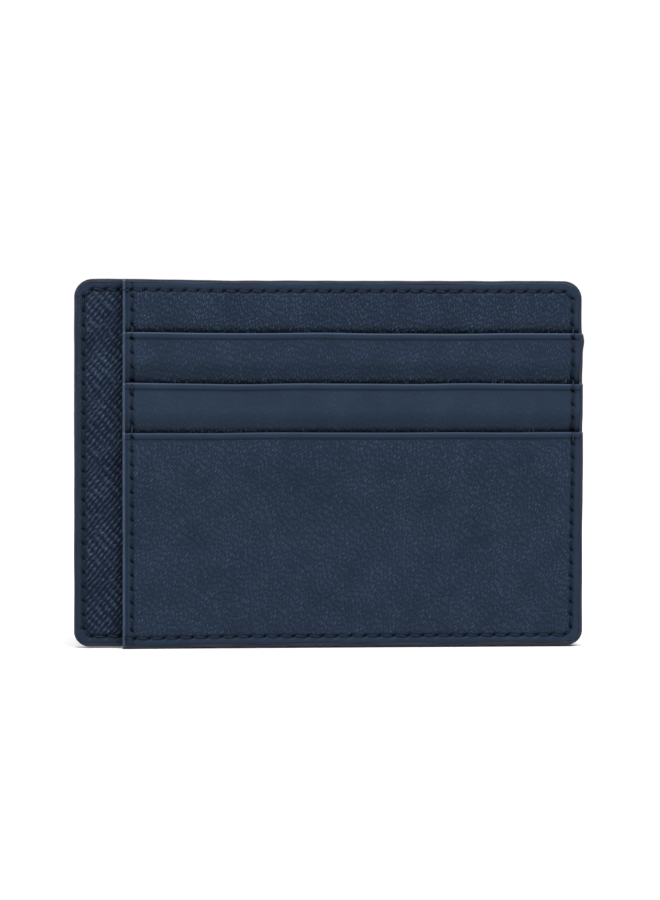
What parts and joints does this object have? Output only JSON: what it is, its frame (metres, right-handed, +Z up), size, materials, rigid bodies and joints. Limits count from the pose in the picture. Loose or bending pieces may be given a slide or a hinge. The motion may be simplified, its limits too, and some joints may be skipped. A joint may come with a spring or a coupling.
{
  "type": "card holder",
  "caption": "Slim leather card holder with stepped card slots behind turned hems and a slip pocket open to one side.",
  "frame": {"origin": "under the middle of the holder, on the surface that its bottom edge stands on", "axes": "+X to the right seen from the front, -Y out of the front with the card slots, +Z up towards the slot mouths"},
  "size_m": [0.102, 0.0056, 0.0736],
  "materials": {
    "outer_leather": "cross-grain embossed calf leather, dark navy, satin",
    "edge_paint": "built-up flexible edge paint, dark navy, satin",
    "sewing_thread": "twisted polyester sewing thread, navy",
    "lining_textile": "thin woven twill lining, dark navy",
    "stiffener_board": "bonded leather-fibre board, matte",
    "hem_tape": "thin woven reinforcing tape, off-white"
  },
  "bodies": {
    "root": {"rear_panel": "outer_leather", "rear_board": "stiffener_board", "inner_panel": "outer_leather", "side_pocket_lining": "lining_textile", "slot_back_lining": "lining_textile", "top_band": "outer_leather", "upper_pocket_leather": "outer_leather", "upper_pocket_tape": "hem_tape", "upper_pocket_lining": "lining_textile", "middle_pocket_leather": "outer_leather", "middle_pocket_tape": "hem_tape", "middle_pocket_lining": "lining_textile", "front_pocket_leather": "outer_leather", "front_pocket_tape": "hem_tape", "front_pocket_lining": "lining_textile", "perimeter_edge_coat": "edge_paint", "mouth_edge_coat": "edge_paint", "perimeter_needle_thread": "sewing_thread", "perimeter_bobbin_thread": "sewing_thread", "mouth_needle_thread": "sewing_thread", "mouth_bobbin_thread": "sewing_thread", "upper_lining_seam_thread": "sewing_thread", "middle_lining_seam_thread": "sewing_thread"}
  },
  "joints": []
}
